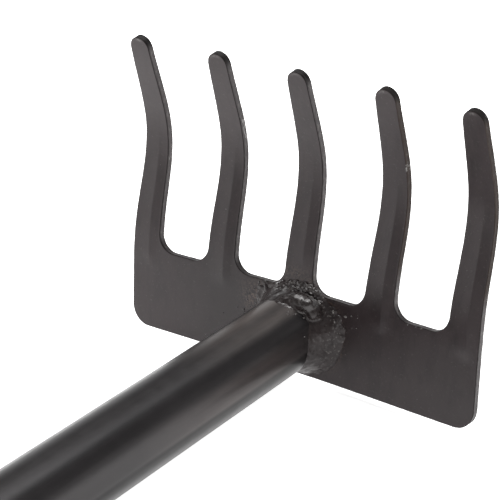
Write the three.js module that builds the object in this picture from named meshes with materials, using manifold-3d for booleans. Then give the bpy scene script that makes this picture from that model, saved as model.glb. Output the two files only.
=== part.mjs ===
// Five-tine hand rake: a stamped steel head butt-welded onto a round steel tube,
// with a push-on grip at the far end. Millimetres, +Z up.
//
// Row frame: the handle's axis is the Y axis and the handle runs towards -Y. X runs across
// the head. The origin is where the handle's axis meets the back face of the head plate.
// The tines stand up towards +Z and the head leans back a few degrees at the top.

import * as THREE from 'three';
import { mergeVertices } from 'three/addons/utils/BufferGeometryUtils.js';
import Module from 'manifold-3d';

// ---------------------------------------------------------------- driving dimensions
const GAP = 0.3; // air between touching pieces

// head
const PLATE_T = 2.2; // sheet thickness
const PLATE_DROP = 25.4; // from the bottom of the tine gaps to the plate's lower edge
const GAP_LINE_Z = 10.96; // bottom of the tine gaps above the handle's axis, along the plate
const CORNER_R = 6.2; // lower corners of the plate
const GAP_R = 5.2; // corners at the bottom of each tine gap
const BASE_X = [-56.0, -27.7, 0.25, 28.2, 56.1]; // tine centres at the gap line
const TIP_X = [-56.25, -27.95, -0.55, 28.9, 56.15]; // tine centres at the tips
const TINE_W = [10.14, 8.72, 6.68]; // tine width at base, middle and tip
const TINE_BOW = 0.12; // sideways bow of each tine at its middle, towards -X
const TINE_L = 65.17; // tine length along the sheet, from the gap line
const TINE_DL = [1.6, 1.0, 0.1, 0.35, -0.55]; // each tine's own difference in length
const LEAN = [2.3, 9.7, 11.7, 0.5, -16.4, -20.2, -17.9]; // degrees off the plate, evenly spaced along a tine, + away from the handle
const HEAD_TILT = -7.53; // degrees about X: the plate's top leans away from the handle
const HEAD_YAW = -1.22; // degrees about Z: the weld pulled the head slightly off square
const WING_SLOPE = 0.0346; // the plate's wings bend towards the handle outside the weld
const WING_X = 1.7; // centre of the flat middle part
const WING_FLAT = 8; // half-width of the flat middle part
const WING_EASE = 4; // how softly the wings start
const RIB_H = [0.32, 0.45, 0.3, 0.5, 0.5]; // height of the pressed rib on each tine's handle side
const RIB_U = 0.62; // rib crest as a fraction of the tine width, from the left edge
const RIB_END = 0.93; // right-hand foot of the rib, as a fraction of the width

// handle
const TUBE_R = 11; // 22 mm tube
const TUBE_WALL = 1.5;
const HANDLE_END = -318; // butt end of the grip
const TUBE_END = -292;

// grip
const GRIP_FRONT = -196;
const GRIP_R = 14.2;
const HANG_R = 4.6; // hanging hole through the solid end of the grip
const HANG_Y = -304.5;

const rad = THREE.MathUtils.degToRad;

// ---------------------------------------------------------------- manifold helpers
const wasm = await Module();
wasm.setup();

function solidOf(geometry, matrix) {
  const g = geometry.clone();
  if (matrix) g.applyMatrix4(matrix);
  g.deleteAttribute('normal');
  g.deleteAttribute('uv');
  const m = mergeVertices(g, 1e-5);
  return new wasm.Manifold(
    new wasm.Mesh({
      numProp: 3,
      vertProperties: new Float32Array(m.attributes.position.array),
      triVerts: new Uint32Array(m.index.array),
    }),
  );
}

function geometryOf(solid) {
  const mesh = solid.getMesh();
  const g = new THREE.BufferGeometry();
  g.setAttribute('position', new THREE.BufferAttribute(new Float32Array(mesh.vertProperties), 3));
  g.setIndex(new THREE.BufferAttribute(new Uint32Array(mesh.triVerts), 1));
  g.computeVertexNormals();
  return g;
}

function boxBetween(lo, hi) {
  const g = new THREE.BoxGeometry(hi[0] - lo[0], hi[1] - lo[1], hi[2] - lo[2]);
  g.translate((lo[0] + hi[0]) / 2, (lo[1] + hi[1]) / 2, (lo[2] + hi[2]) / 2);
  return g;
}

// ---------------------------------------------------------------- the head's sheet
// The sheet is laid out flat in (x, s): s = 0 on the gap line, s up the tines and -s down
// the plate. It is then bent: along s by the lean profile, across x by the wings.

const leanKnots = LEAN.map((d, i) => [(TINE_L * i) / (LEAN.length - 1), rad(d)]);

function leanAt(s) {
  const first = 6;
  if (s <= -first) return 0;
  if (s < 0) return leanKnots[0][1] * (1 + s / first) ** 2;
  const step = TINE_L / (LEAN.length - 1);
  const n = leanKnots.length - 1;
  const i = Math.min(Math.floor(s / step), n - 1);
  const t = Math.min((s - i * step) / step, 1.2);
  const p0 = leanKnots[Math.max(i - 1, 0)][1];
  const p1 = leanKnots[i][1];
  const p2 = leanKnots[i + 1][1];
  const p3 = leanKnots[Math.min(i + 2, n)][1];
  return 0.5 * (2 * p1 + (p2 - p0) * t + (2 * p0 - 5 * p1 + 4 * p2 - p3) * t * t + (3 * p1 - p0 - 3 * p2 + p3) * t * t * t);
}

const profile = (() => {
  const ds = 0.25;
  const list = [];
  let y = 0;
  let z = -6;
  for (let s = -6; s <= TINE_L + 3; s += ds) {
    list.push({ s, y, z });
    const a = leanAt(s + ds / 2);
    y += Math.sin(a) * ds;
    z += Math.cos(a) * ds;
  }
  return list;
})();

function spine(s) {
  if (s <= -6) return { y: 0, z: s, a: 0 };
  const k = (s + 6) / 0.25;
  const i = Math.min(Math.floor(k), profile.length - 2);
  const t = k - i;
  const p = profile[i];
  const q = profile[i + 1];
  return { y: p.y + (q.y - p.y) * t, z: p.z + (q.z - p.z) * t, a: leanAt(s) };
}

function wing(x) {
  const e = Math.max(0, Math.abs(x - WING_X) - WING_FLAT);
  return -WING_SLOPE * (Math.sqrt(e * e + WING_EASE * WING_EASE) - WING_EASE);
}

const smooth = (a, b, v) => {
  const t = Math.min(Math.max((v - a) / (b - a), 0), 1);
  return t * t * (3 - 2 * t);
};

function tineCentre(i, s) {
  const t = Math.max(s, 0) / TINE_L;
  return BASE_X[i] + (TIP_X[i] - BASE_X[i]) * t - TINE_BOW * Math.sin(Math.PI * Math.min(t, 1));
}

function tineWidth(s) {
  const t = Math.min(Math.max(s / TINE_L, 0), 1) * 2;
  return t < 1 ? TINE_W[0] + (TINE_W[1] - TINE_W[0]) * t : TINE_W[1] + (TINE_W[2] - TINE_W[1]) * (t - 1);
}

// rib height on the handle side, over the lower half of each tine
function rib(x, s) {
  let best = 0;
  for (let i = 0; i < 5; i++) {
    const w = tineWidth(s);
    const u = (x - tineCentre(i, s)) / w + 0.5;
    if (u < -0.05 || u > 1.05) continue;
    const foot = i === 2 ? smooth(5.5, 11, s) : smooth(-6.5, -1.5, s); // the weld covers the middle tine's root
    const along = foot * (1 - smooth(26, 38, s));
    const across = u < RIB_U ? Math.max(u / RIB_U, 0) ** 1.4 : Math.max(1 - (u - RIB_U) / (RIB_END - RIB_U), 0);
    best = Math.max(best, RIB_H[i] * along * across);
  }
  return best;
}

function bend(x, s, depth) {
  const p = spine(s);
  const r = rib(x, s);
  const n = depth - r;
  return [x, p.y + n * Math.cos(p.a) - PLATE_T + wing(x), GAP_LINE_Z + p.z - n * Math.sin(p.a)];
}

// flat pattern: columns of each row, then quads between rows
const COLS = [0, 0.3, RIB_U, RIB_END, 1];
const points = []; // {x, s}
const cells = []; // quads as [a, b, c, d], counter-clockwise seen from the handle side
const add = (x, s) => points.push({ x, s }) - 1;

function flare(s) {
  if (s >= GAP_R) return 0;
  const d = GAP_R - Math.max(s, 0);
  return GAP_R - Math.sqrt(GAP_R * GAP_R - d * d);
}

function tineRow(i, s, squeeze) {
  const w = tineWidth(s) * squeeze;
  const c = tineCentre(i, s);
  const left = i > 0 ? flare(s) : 0;
  const right = i < 4 ? flare(s) : 0;
  return COLS.map((u, k) => {
    let x = c + (u - 0.5) * w;
    if (k === 0) x -= left;
    if (k === COLS.length - 1) x += right;
    return x;
  });
}

const baseRow = [];
for (let i = 0; i < 5; i++) {
  const length = TINE_L + TINE_DL[i];
  const tipR = tineWidth(length) / 2;
  const levels = [];
  for (let k = 0; k <= 4; k++) levels.push([GAP_R * (1 - Math.cos((k / 4) * (Math.PI / 2))), 1]);
  const straight = 15;
  for (let k = 1; k <= straight; k++) levels.push([GAP_R + ((length - tipR - GAP_R) * k) / straight, 1]);
  for (const deg of [22, 45, 66, 84]) levels.push([length - tipR + tipR * Math.sin(rad(deg)), Math.cos(rad(deg))]);
  let previous = null;
  levels.forEach(([s, squeeze], k) => {
    const row = tineRow(i, s, squeeze).map((x) => add(x, s));
    if (k === 0) baseRow.push(...row);
    if (previous) for (let c = 0; c + 1 < row.length; c++) cells.push([previous[c], previous[c + 1], row[c + 1], row[c]]);
    previous = row;
  });
  if (i < 4) {
    const from = tineRow(i, 0, 1)[COLS.length - 1];
    const to = tineRow(i + 1, 0, 1)[0];
    baseRow.push(add((from + to) / 2, 0));
  }
}

const halfLeft = -points[baseRow[0]].x;
const halfRight = points[baseRow[baseRow.length - 1]].x;
const inner = CORNER_R + 5;
function squeezed(x, s) {
  const up = s + PLATE_DROP;
  if (up >= CORNER_R) return x;
  const d = CORNER_R - up;
  const cut = CORNER_R - Math.sqrt(Math.max(CORNER_R * CORNER_R - d * d, 0));
  const half = x < 0 ? halfLeft : halfRight;
  const from = half - inner;
  const a = Math.abs(x);
  if (a <= from) return x;
  return Math.sign(x) * (from + ((a - from) * (inner - cut)) / inner);
}
let above = baseRow;
const down = [-1.5, -4, -6.5, -14.4];
for (const deg of [0, 22.5, 45, 67.5, 90]) down.push(-PLATE_DROP + CORNER_R * (1 - Math.sin(rad(deg))));
for (const s of down) {
  const row = baseRow.map((b) => add(squeezed(points[b].x, s), s));
  for (let c = 0; c + 1 < row.length; c++) cells.push([row[c], row[c + 1], above[c + 1], above[c]]);
  above = row;
}

function sheetGeometry() {
  const n = points.length;
  const position = new Float32Array(n * 6);
  points.forEach(({ x, s }, i) => {
    position.set(bend(x, s, 0), i * 3);
    position.set(bend(x, s, PLATE_T), (n + i) * 3);
  });
  const index = [];
  const edges = new Map();
  for (const [a, b, c, d] of cells) {
    for (const [p, q, r] of [[a, b, c], [a, c, d]]) {
      index.push(p, q, r);
      index.push(n + p, n + r, n + q);
      for (const [u, v] of [[p, q], [q, r], [r, p]]) {
        if (edges.has(`${v},${u}`)) edges.delete(`${v},${u}`);
        else edges.set(`${u},${v}`, [u, v]);
      }
    }
  }
  for (const [u, v] of edges.values()) {
    index.push(v, u, n + u);
    index.push(v, n + u, n + v);
  }
  const g = new THREE.BufferGeometry();
  g.setAttribute('position', new THREE.BufferAttribute(position, 3));
  g.setIndex(index);
  g.computeVertexNormals();
  return g;
}

// ---------------------------------------------------------------- head placement
const headGroup = new THREE.Group();
headGroup.rotation.set(rad(HEAD_TILT), 0, rad(HEAD_YAW), 'XYZ');
headGroup.updateMatrixWorld(true);
const headMatrix = headGroup.matrixWorld;

// everything behind the plate's front face, less the gap: what cuts the tube and the weld
const behindFront = solidOf(boxBetween([-90, -PLATE_T - GAP, -90], [90, 60, 120]), headMatrix);

// ---------------------------------------------------------------- tube
const tubeProfile = [
  [TUBE_R - TUBE_WALL, TUBE_END],
  [TUBE_R, TUBE_END],
  [TUBE_R, 6],
  [TUBE_R - TUBE_WALL, 6],
  [TUBE_R - TUBE_WALL, TUBE_END],
].map(([r, y]) => new THREE.Vector2(r, y));
const tube = solidOf(new THREE.LatheGeometry(tubeProfile, 48)).subtract(behindFront);

// ---------------------------------------------------------------- weld
// One lumpy collar round the tube against the plate, laid in two runs.
// Leg on the plate and leg along the tube, by angle from +X towards +Z.
const WELD_INNER = TUBE_R + GAP;
const LEGS = [
  // angle, leg on the plate, leg along the tube
  [0, 5.9, 8.4],
  [30, 4.7, 6.3],
  [55, 4.2, 7.5],
  [80, 3.6, 9.5],
  [105, 3.3, 8.6],
  [135, 3.0, 6.6],
  [165, 2.6, 4.6],
  [200, 2.4, 4.0],
  [235, 2.4, 4.0],
  [270, 2.6, 4.6],
  [300, 3.2, 7.0],
  [330, 4.7, 8.2],
  [360, 5.9, 8.4],
];
function legs(deg) {
  const a = ((deg % 360) + 360) % 360;
  let i = 0;
  while (i + 2 < LEGS.length && LEGS[i + 1][0] <= a) i++;
  const [a0, p0, t0] = LEGS[i];
  const [a1, p1, t1] = LEGS[i + 1];
  const t = smooth(a0, a1, a);
  return [p0 + (p1 - p0) * t, t0 + (t1 - t0) * t];
}
const collarProfile = [
  [0, 6],
  [0, -1],
  [0.34, -0.8],
  [0.72, -0.42],
  [1, 0],
  [1, 6],
  [0, 6],
].map(([r, y]) => new THREE.Vector2(WELD_INNER + r, y));
const collar = new THREE.LatheGeometry(collarProfile, 44);
{
  const p = collar.attributes.position;
  for (let i = 0; i < p.count; i++) {
    const x = p.getX(i);
    const y = p.getY(i);
    const z = p.getZ(i);
    const r = Math.hypot(x, z);
    const deg = THREE.MathUtils.radToDeg(Math.atan2(z, x));
    const [onPlate, onTube] = legs(deg);
    const wave = 1 + 0.07 * Math.sin(rad(deg) * 11);
    const newR = WELD_INNER + (r - WELD_INNER) * onPlate * wave;
    const faceY = -(PLATE_T + GAP) + newR * Math.sin(rad(deg)) * Math.tan(-rad(HEAD_TILT)) - newR * Math.cos(rad(deg)) * Math.tan(-rad(HEAD_YAW));
    const newY = y > 0 ? y : faceY + y * onTube * wave;
    p.setXYZ(i, (x / r) * newR, newY, (z / r) * newR);
  }
}
const weld = solidOf(collar).subtract(behindFront);

// the two runs meet at the sides of the tube, a little apart
const SPLIT_Z = 1.0;
const weldUpper = weld.intersect(solidOf(boxBetween([-40, -40, SPLIT_Z + GAP / 2], [40, 40, 60])));
const weldLower = weld.intersect(solidOf(boxBetween([-40, -40, -60], [40, 40, SPLIT_Z - GAP / 2])));

// ---------------------------------------------------------------- grip
const gripProfile = [
  [0, TUBE_END - GAP],
  [TUBE_R + GAP, TUBE_END - GAP],
  [TUBE_R + GAP, GRIP_FRONT],
  [GRIP_R + 0.6, GRIP_FRONT],
  [GRIP_R + 1.8, GRIP_FRONT - 2],
  [GRIP_R + 1.8, GRIP_FRONT - 6],
  [GRIP_R + 0.2, GRIP_FRONT - 10],
  [GRIP_R - 0.6, GRIP_FRONT - 30],
  [GRIP_R + 0.3, GRIP_FRONT - 55],
  [GRIP_R + 0.4, GRIP_FRONT - 75],
  [GRIP_R - 0.2, GRIP_FRONT - 95],
  [GRIP_R - 0.9, HANDLE_END + 9],
  [GRIP_R - 2.0, HANDLE_END + 4.5],
  [GRIP_R - 4.6, HANDLE_END + 1.2],
  [GRIP_R - 7.6, HANDLE_END],
  [0, HANDLE_END],
].map(([r, y]) => new THREE.Vector2(r, y));
const hangHole = new THREE.CylinderGeometry(HANG_R, HANG_R, 60, 24);
hangHole.rotateX(Math.PI / 2);
hangHole.translate(0, HANG_Y, 0);
// profile runs from the axis out and back to the axis, so the sleeve is one closed body
const gripBlank = new THREE.LatheGeometry(gripProfile.slice().reverse(), 48);
const grip = solidOf(gripBlank).subtract(solidOf(hangHole));

// ---------------------------------------------------------------- materials and meshes
const material = (color, roughness, metalness) => new THREE.MeshStandardMaterial({ color, roughness, metalness });

function mesh(name, geometry, mat) {
  const m = new THREE.Mesh(geometry, mat);
  m.name = name;
  return m;
}

const rake = new THREE.Group();
rake.name = 'hand_rake';

headGroup.add(mesh('rake_head', sheetGeometry(), material(0x2b2829, 0.42, 0.0)));
rake.add(headGroup);
rake.add(mesh('handle_tube', geometryOf(tube), material(0x232326, 0.34, 0.0)));
rake.add(mesh('weld_bead_upper', geometryOf(weldUpper), material(0x201e1e, 0.28, 0.0)));
rake.add(mesh('weld_bead_lower', geometryOf(weldLower), material(0x201e1e, 0.32, 0.0)));
rake.add(mesh('handle_grip', geometryOf(grip), material(0x1a1a1b, 0.7, 0.0)));

export default rake;
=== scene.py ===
import math

import bpy
import numpy as np
from mathutils import Matrix, Vector


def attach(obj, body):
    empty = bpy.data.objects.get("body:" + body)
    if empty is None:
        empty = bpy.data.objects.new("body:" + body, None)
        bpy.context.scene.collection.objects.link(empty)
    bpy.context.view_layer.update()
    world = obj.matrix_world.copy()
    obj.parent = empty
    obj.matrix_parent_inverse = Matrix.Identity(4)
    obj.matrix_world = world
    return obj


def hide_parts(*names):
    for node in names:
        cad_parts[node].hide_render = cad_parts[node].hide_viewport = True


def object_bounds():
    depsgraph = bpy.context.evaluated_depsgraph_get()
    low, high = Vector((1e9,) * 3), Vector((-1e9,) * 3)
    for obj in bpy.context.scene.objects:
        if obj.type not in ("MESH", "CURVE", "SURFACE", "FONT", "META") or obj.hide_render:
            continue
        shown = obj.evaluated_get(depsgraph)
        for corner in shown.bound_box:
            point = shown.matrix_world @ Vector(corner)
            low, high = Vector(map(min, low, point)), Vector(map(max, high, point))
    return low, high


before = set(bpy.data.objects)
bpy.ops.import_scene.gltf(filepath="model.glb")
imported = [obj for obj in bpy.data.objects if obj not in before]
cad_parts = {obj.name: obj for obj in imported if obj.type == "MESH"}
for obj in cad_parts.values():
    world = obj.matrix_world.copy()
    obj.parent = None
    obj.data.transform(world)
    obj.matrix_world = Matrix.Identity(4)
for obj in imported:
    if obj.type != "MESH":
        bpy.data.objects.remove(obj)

CAD_LO, CAD_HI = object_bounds()
MM = 0.001

# ------------------------------------------------------------------ sizes (mm), as in the CAD model
PLATE_T = 2.2
PLATE_DROP = 25.4
GAP_LINE_Z = 10.96
CORNER_R = 6.2
GAP_R = 5.2
BASE_X = [-56.0, -27.7, 0.25, 28.2, 56.1]
TIP_X = [-56.25, -27.95, -0.55, 28.9, 56.15]
TINE_W = [10.14, 8.72, 6.68]
TINE_BOW = 0.12
TINE_L = 65.17
TINE_DL = [1.6, 1.0, 0.1, 0.35, -0.55]
LEAN = [2.3, 9.7, 11.7, 0.5, -16.4, -20.2, -17.9]
HEAD_TILT = math.radians(-7.53)
HEAD_YAW = math.radians(-1.22)
WING_SLOPE, WING_X, WING_FLAT, WING_EASE = 0.0346, 1.7, 8.0, 4.0
RIB_H, RIB_U, RIB_END = [0.32, 0.45, 0.3, 0.5, 0.5], 0.62, 0.93
TUBE_R, TUBE_WALL = 11.0, 1.5
TUBE_END = -292.0
HANDLE_END = -318.0
GRIP_FRONT = -196.0
GRIP_R = 14.2
HANG_R, HANG_Y = 4.6, -304.5

rx = np.array([[1, 0, 0], [0, math.cos(HEAD_TILT), -math.sin(HEAD_TILT)], [0, math.sin(HEAD_TILT), math.cos(HEAD_TILT)]])
rz = np.array([[math.cos(HEAD_YAW), -math.sin(HEAD_YAW), 0], [math.sin(HEAD_YAW), math.cos(HEAD_YAW), 0], [0, 0, 1]])
HEAD_ROT = rx @ rz  # head frame -> row frame


# ------------------------------------------------------------------ small numeric tools
def smooth(a, b, v):
    t = np.clip((np.asarray(v, float) - a) / (b - a), 0, 1)
    return t * t * (3 - 2 * t)


def _hash(ix, iy, iz, seed):
    h = (ix * 73856093) ^ (iy * 19349663) ^ (iz * 83492791) ^ (seed * 265443576)
    h &= 0xFFFFFFFF
    h = ((h ^ (h >> 13)) * 1274126177) & 0xFFFFFFFF
    h ^= h >> 16
    return h / float(0xFFFFFFFF) * 2 - 1


def vnoise(p, seed=0):
    """Smooth value noise in -1..1 at points p (N, 3), one cell per unit."""
    p = np.asarray(p, float)
    f = np.floor(p)
    i = f.astype(np.int64) + 4096
    t = p - f
    t = t * t * t * (t * (t * 6 - 15) + 10)
    out = 0
    for dx in (0, 1):
        wx = t[:, 0] if dx else 1 - t[:, 0]
        for dy in (0, 1):
            wy = t[:, 1] if dy else 1 - t[:, 1]
            for dz in (0, 1):
                wz = t[:, 2] if dz else 1 - t[:, 2]
                out = out + wx * wy * wz * _hash(i[:, 0] + dx, i[:, 1] + dy, i[:, 2] + dz, seed)
    return out


def fbm(p, seed=0, octaves=3, gain=0.5):
    total, amp, freq, norm = 0, 1.0, 1.0, 0
    for o in range(octaves):
        total = total + amp * vnoise(np.asarray(p) * freq, seed + 17 * o)
        norm += amp
        amp *= gain
        freq *= 2.03
    return total / norm


def make_mesh(name, verts_mm, faces, smooth_shade=True):
    me = bpy.data.meshes.new(name)
    me.from_pydata((np.asarray(verts_mm) * MM).tolist(), [], [tuple(int(i) for i in f) for f in faces])
    me.validate(verbose=False)
    me.update()
    if smooth_shade:
        me.polygons.foreach_set("use_smooth", [True] * len(me.polygons))
    ob = bpy.data.objects.new(name, me)
    bpy.context.scene.collection.objects.link(ob)
    return ob


def point_attribute(ob, name, values):
    a = ob.data.attributes.new(name, "FLOAT", "POINT")
    a.data.foreach_set("value", np.asarray(values, np.float32))


def settle(ob, node=None):
    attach(ob, "root")
    if node:
        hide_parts(*([node] if isinstance(node, str) else node))
    return ob


# ------------------------------------------------------------------ materials
class Nodes:
    """Short names for building a node tree."""

    def __init__(self, name):
        self.mat = bpy.data.materials.new(name)
        self.mat.use_nodes = True
        self.t = self.mat.node_tree
        self.bsdf = self.t.nodes["Principled BSDF"]
        self.coord = self.t.nodes.new("ShaderNodeTexCoord").outputs["Object"]

    def link(self, a, b):
        self.t.links.new(a, b)

    def noise(self, scale, detail=2.0, rough=0.5, distortion=0.0, vector=None):
        n = self.t.nodes.new("ShaderNodeTexNoise")
        n.inputs["Scale"].default_value = scale
        n.inputs["Detail"].default_value = detail
        n.inputs["Roughness"].default_value = rough
        n.inputs["Distortion"].default_value = distortion
        self.link(vector or self.coord, n.inputs["Vector"])
        return n.outputs["Fac"]

    def voronoi(self, scale, vector=None, feature="F1"):
        n = self.t.nodes.new("ShaderNodeTexVoronoi")
        n.feature = feature
        n.inputs["Scale"].default_value = scale
        self.link(vector or self.coord, n.inputs["Vector"])
        return n.outputs["Distance"]

    def scaled(self, x, y, z):
        n = self.t.nodes.new("ShaderNodeMapping")
        n.inputs["Scale"].default_value = (x, y, z)
        self.link(self.coord, n.inputs["Vector"])
        return n.outputs["Vector"]

    def remap(self, v, a, b, c, d, clamp=True):
        n = self.t.nodes.new("ShaderNodeMapRange")
        n.clamp = clamp
        self.link(v, n.inputs["Value"])
        for key, val in zip(("From Min", "From Max", "To Min", "To Max"), (a, b, c, d)):
            n.inputs[key].default_value = val
        return n.outputs["Result"]

    def math(self, op, a, b=None):
        n = self.t.nodes.new("ShaderNodeMath")
        n.operation = op
        for i, v in enumerate((a, b)):
            if v is None:
                continue
            if isinstance(v, (int, float)):
                n.inputs[i].default_value = v
            else:
                self.link(v, n.inputs[i])
        return n.outputs[0]

    def mix(self, fac, a, b):
        n = self.t.nodes.new("ShaderNodeMix")
        n.data_type = "RGBA"
        for sock, v in ((n.inputs["Factor"], fac), (n.inputs[6], a), (n.inputs[7], b)):
            if isinstance(v, tuple):
                sock.default_value = (*v, 1.0)
            elif isinstance(v, (int, float)):
                sock.default_value = v
            else:
                self.link(v, sock)
        return n.outputs[2]

    def attribute(self, name):
        n = self.t.nodes.new("ShaderNodeAttribute")
        n.attribute_name = name
        return n.outputs["Fac"]

    def bump(self, height, strength, distance, normal=None):
        n = self.t.nodes.new("ShaderNodeBump")
        n.inputs["Strength"].default_value = strength
        n.inputs["Distance"].default_value = distance
        self.link(height, n.inputs["Height"])
        if normal is not None:
            self.link(normal, n.inputs["Normal"])
        return n.outputs["Normal"]

    def set(self, name, value):
        s = self.bsdf.inputs[name]
        if isinstance(value, (int, float)):
            s.default_value = value
        elif isinstance(value, tuple):
            s.default_value = (*value, 1.0) if len(value) == 3 else value
        else:
            self.link(value, s)


def head_material():
    n = Nodes("head_paint")
    broad = n.noise(34, 3, 0.55)
    fine = n.noise(420, 3, 0.6)
    wall = n.attribute("wall")
    base = n.mix(n.remap(broad, 0.35, 0.68, 0, 1), (0.0175, 0.0117, 0.0124), (0.0240, 0.0172, 0.0180))
    mottle = n.noise(1100, 3, 0.65, vector=n.scaled(1, 1, 0.6))
    base = n.mix(n.math("MULTIPLY", n.remap(mottle, 0.50, 0.66, 0, 0.75), wall), base, (0.100, 0.090, 0.087))
    # faint smears and dust specks in the satin paint
    smear = n.noise(230, 4, 0.7, vector=n.scaled(1, 1, 0.35))
    base = n.mix(n.remap(smear, 0.48, 0.66, 0, 0.55), base, (0.009, 0.0065, 0.0070))
    base = n.mix(n.remap(n.noise(1250, 3, 0.7), 0.60, 0.74, 0, 0.55), base, (0.060, 0.053, 0.051))
    # painted sheen: the upper tines are lighter towards the left, where they catch more light
    xyz = n.t.nodes.new("ShaderNodeSeparateXYZ")
    n.link(n.coord, xyz.inputs[0])
    painted_left_sheen = n.math("MULTIPLY", n.remap(xyz.outputs["X"], 0.02, -0.06, 0, 1), n.remap(xyz.outputs["Z"], 0.010, 0.030, 0, 1))
    painted_left_sheen = n.math("MULTIPLY", painted_left_sheen, n.remap(n.noise(90, 3, 0.6), 0.3, 0.7, 0.18, 0.30))
    base = n.mix(painted_left_sheen, base, (0.070, 0.062, 0.062))
    scorch = n.attribute("scorch")
    burnt = n.noise(1300, 3, 0.7)
    base = n.mix(n.math("MULTIPLY", n.remap(burnt, 0.45, 0.58, 0, 0.95), scorch), base, (0.088, 0.064, 0.052))
    base = n.mix(n.math("MULTIPLY", n.remap(n.noise(1050, 2, 0.6), 0.54, 0.60, 0, 1), scorch), base, (0.006, 0.005, 0.005))
    # painted shade: the rounded edge between the face and the cut wall is darkened
    corner = n.attribute("corner")
    base = n.mix(n.math("MULTIPLY", corner, 0.55), base, (0.006, 0.005, 0.005))
    # brown, dull cut edges on the right-hand tines, painted shade on the rounded ends, a faint painted highlight
    # crescent inside each end
    brown = n.attribute("brown")
    base = n.mix(n.math("MULTIPLY", brown, 0.8), base, (0.026, 0.018, 0.015))
    painted_end_shade = n.attribute("painted_end_shade")
    base = n.mix(n.math("MULTIPLY", painted_end_shade, 0.85), base, (0.007, 0.006, 0.006))
    glint = n.math("MULTIPLY", n.attribute("glint"), n.remap(n.noise(1600, 2, 0.6), 0.38, 0.62, 0.15, 1))
    base = n.mix(glint, base, (0.17, 0.16, 0.155))
    shade = n.math("MULTIPLY", n.remap(xyz.outputs["X"], 0.026, 0.05, 0, 0.30), n.remap(xyz.outputs["Z"], 0.012, 0.004, 0, 1))
    base = n.mix(shade, base, (0.006, 0.005, 0.005))
    beside = n.math("MULTIPLY", n.remap(xyz.outputs["X"], -0.046, -0.030, 0, 0.55), n.remap(xyz.outputs["X"], -0.020, -0.014, 1, 0))
    base = n.mix(n.math("MULTIPLY", beside, n.remap(xyz.outputs["Z"], 0.020, 0.006, 0, 1)), base, (0.006, 0.005, 0.005))
    # where the paint is worn thin on the cut edges
    chip_noise = n.noise(900, 3, 0.65)
    chip = n.math("ADD", n.attribute("chip"), n.remap(chip_noise, 0.3, 0.7, -0.42, 0.42, False))
    chip = n.remap(chip, 0.46, 0.72, 0, 1)
    base = n.mix(chip, base, (0.21, 0.205, 0.20))
    n.set("Base Color", base)
    n.set("Metallic", n.math("MULTIPLY", chip, 0.3))
    rough = n.remap(fine, 0.3, 0.7, 0.34, 0.42)
    rough = n.math("ADD", rough, n.math("MULTIPLY", wall, 0.08))
    rough = n.math("ADD", rough, n.math("MULTIPLY", brown, 0.22))
    n.set("Roughness", rough)
    n.set("Specular IOR Level", 0.37)
    # specular tint: reflection dimmed on the edge rounding and the tine ends (painted shade), brownish on the
    # right-hand cut edges
    tint = n.mix(corner, (1.0, 0.95, 0.96), (0.32, 0.31, 0.31))
    tint = n.mix(brown, tint, (0.36, 0.30, 0.27))
    tint = n.mix(painted_end_shade, tint, (0.34, 0.32, 0.32))
    n.set("Specular Tint", tint)
    orange = n.noise(620, 2, 0.5)
    grit = n.noise(2200, 2, 0.5)
    h = n.math("ADD", n.math("MULTIPLY", orange, 0.8), n.math("MULTIPLY", grit, 0.25))
    torn = n.noise(1300, 3, 0.7, vector=n.scaled(1, 1, 0.55))
    h = n.math("ADD", h, n.math("MULTIPLY", n.math("MULTIPLY", torn, wall), 3.0))
    h = n.math("ADD", h, n.math("MULTIPLY", n.math("MULTIPLY", burnt, scorch), 5.0))
    n.set("Normal", n.bump(h, 0.25, 0.00012))
    return n.mat


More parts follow.
